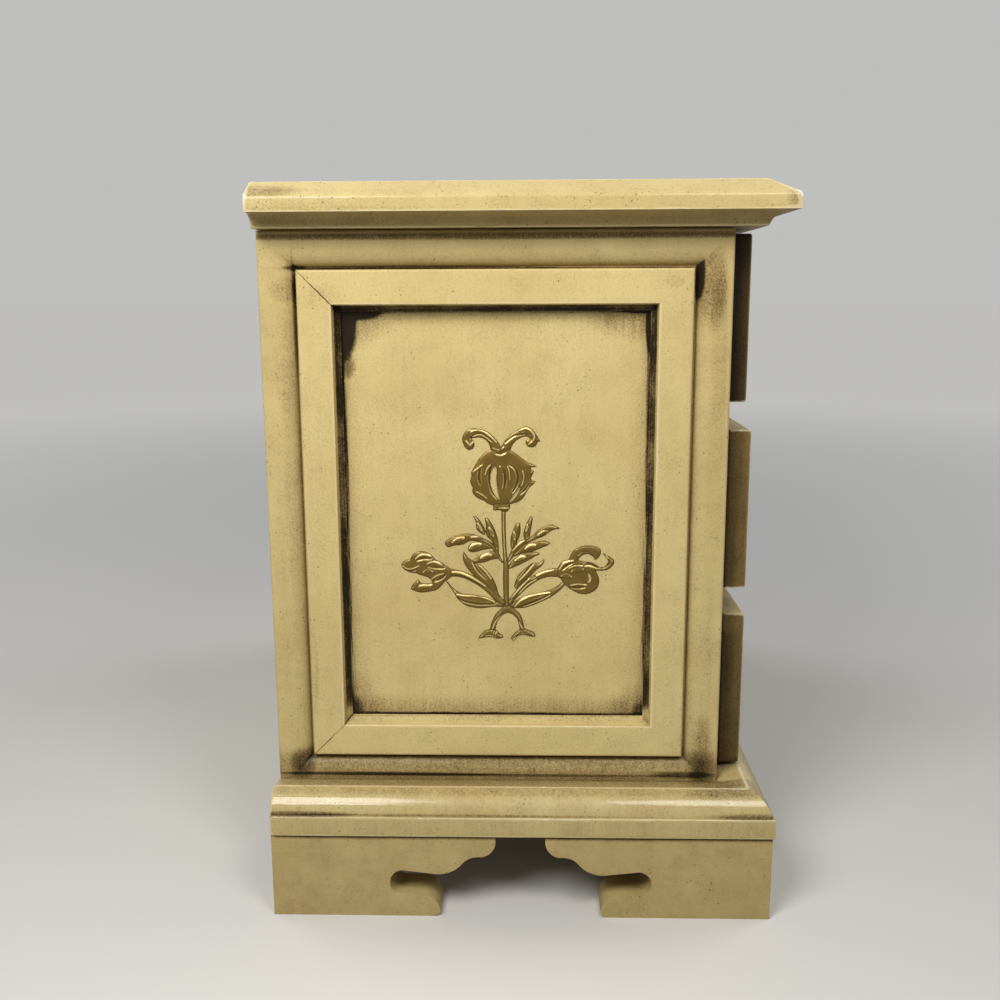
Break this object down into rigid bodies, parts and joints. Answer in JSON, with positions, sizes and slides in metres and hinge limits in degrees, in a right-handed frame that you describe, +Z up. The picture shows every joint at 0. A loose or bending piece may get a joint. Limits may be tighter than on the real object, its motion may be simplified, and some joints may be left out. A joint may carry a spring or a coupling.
{
  "type": "musical jewelry box",
  "caption": "Chest-shaped painted wooden jewelry box with a mirrored hinged lid, drawers, scrolled bracket feet, relief flower panels and a wind-up music movement.",
  "frame": {"origin": "on the floor, midway across the width, and midway between the knobs' ends and the winding key's end", "axes": "+Z up, the front with the drawers faces -Y, the back with the winding key faces +Y, X across the width"},
  "size_m": [0.247, 0.1532, 0.1936],
  "materials": {
    "painted_wood": "satin antique cream paint with an umber glaze in the recesses",
    "bare_wood": "stained and sealed",
    "lining": "short pile velvet",
    "brass": "aged",
    "gilt_iron": "gold lacquered",
    "steel": "ground",
    "mirror": "silvered glass",
    "cover": "thin board covered with the lining's velvet",
    "gilt_relief": "antique gilt over relief"
  },
  "bodies": {
    "case": {"side_board_left": "painted_wood", "side_board_right": "painted_wood", "side_rim_left": "painted_wood", "side_rim_right": "painted_wood", "side_frame_left": "painted_wood", "side_frame_right": "painted_wood", "bottom_board": "bare_wood", "lower_shelf": "bare_wood", "upper_shelf": "bare_wood", "front_wall": "painted_wood", "back_board": "painted_wood", "fixed_front": "painted_wood", "fixed_front_knobs": "brass", "base_moulding": "painted_wood", "foot_front_left": "painted_wood", "foot_front_right": "painted_wood", "foot_rear_right": "painted_wood", "foot_rear_left": "painted_wood", "hinge_case_leaves": "brass", "hinge_pins": "brass", "hinge_case_screws": "brass", "tray_lining": "lining", "tray_divider_long": "lining", "tray_dividers_short": "lining", "ring_rolls": "lining", "movement_cover": "cover", "movement_bedplate": "gilt_iron", "spring_barrel": "gilt_iron", "mainspring": "steel", "comb": "steel", "governor_frame": "gilt_iron", "movement_screws": "steel", "ornament_left": "gilt_relief", "ornament_right": "gilt_relief"},
    "lid": {"lid_board": "painted_wood", "lid_moulding": "painted_wood", "lid_back_strip": "bare_wood", "lid_lining": "lining", "lid_mirror": "mirror", "hinge_lid_leaves": "brass", "hinge_lid_screws": "brass"},
    "lower_drawer": {"lower_drawer_front": "painted_wood", "lower_drawer_knobs": "brass", "lower_drawer_sides": "bare_wood", "lower_drawer_back": "bare_wood", "lower_drawer_bottom": "bare_wood", "lower_drawer_lining": "lining"},
    "upper_drawer": {"upper_drawer_front": "painted_wood", "upper_drawer_knobs": "brass", "upper_drawer_sides": "bare_wood", "upper_drawer_back": "bare_wood", "upper_drawer_bottom": "bare_wood", "upper_drawer_lining": "lining"},
    "winding": {"drive_wheel": "brass", "winding_key": "brass"},
    "cylinder": {"cylinder": "brass"},
    "governor_wheel": {"governor_wheel": "brass"},
    "governor_fan": {"governor_fan": "steel"},
    "stop_lever": {"stop_lever": "steel"}
  },
  "joints": [
    {"name": "lid_hinge", "type": "hinge", "parent": "case", "child": "lid", "pos_m": [0, 0.0636, 0.1822], "axis": [-1, 0, 0], "range_deg": [0, 100]},
    {"name": "lower_drawer_slide", "type": "slide", "parent": "case", "child": "lower_drawer", "axis": [0, -1, 0], "range_m": [0, 0.075]},
    {"name": "upper_drawer_slide", "type": "slide", "parent": "case", "child": "upper_drawer", "axis": [0, -1, 0], "range_m": [0, 0.075]},
    {"name": "key_turn", "type": "hinge", "parent": "case", "child": "winding", "pos_m": [0.052, 0.0556, 0.1606], "axis": [0, -1, 0], "continuous": true},
    {"name": "cylinder_spin", "type": "hinge", "parent": "case", "child": "cylinder", "pos_m": [0.0752, 0.0403, 0.1606], "axis": [1, 0, 0], "continuous": true},
    {"name": "governor_wheel_spin", "type": "hinge", "parent": "case", "child": "governor_wheel", "pos_m": [0.0915, 0.04405, 0.16709], "axis": [-1, 0, 0], "continuous": true},
    {"name": "governor_fan_spin", "type": "hinge", "parent": "case", "child": "governor_fan", "pos_m": [0.0915, 0.0386, 0.1712], "axis": [0, -1, 0], "continuous": true},
    {"name": "stop_lever_pivot", "type": "hinge", "parent": "case", "child": "stop_lever", "pos_m": [0.0909, 0.0494, 0.17569], "axis": [-1, 0, 0], "range_deg": [0, 10]}
  ],
  "couplings": [
    {"joint": "cylinder_spin", "follows": "key_turn", "ratio": 2},
    {"joint": "governor_wheel_spin", "follows": "key_turn", "ratio": 8},
    {"joint": "governor_fan_spin", "follows": "key_turn", "ratio": 160},
    {"joint": "stop_lever_pivot", "follows": "lid_hinge", "ratio": 0.1}
  ]
}
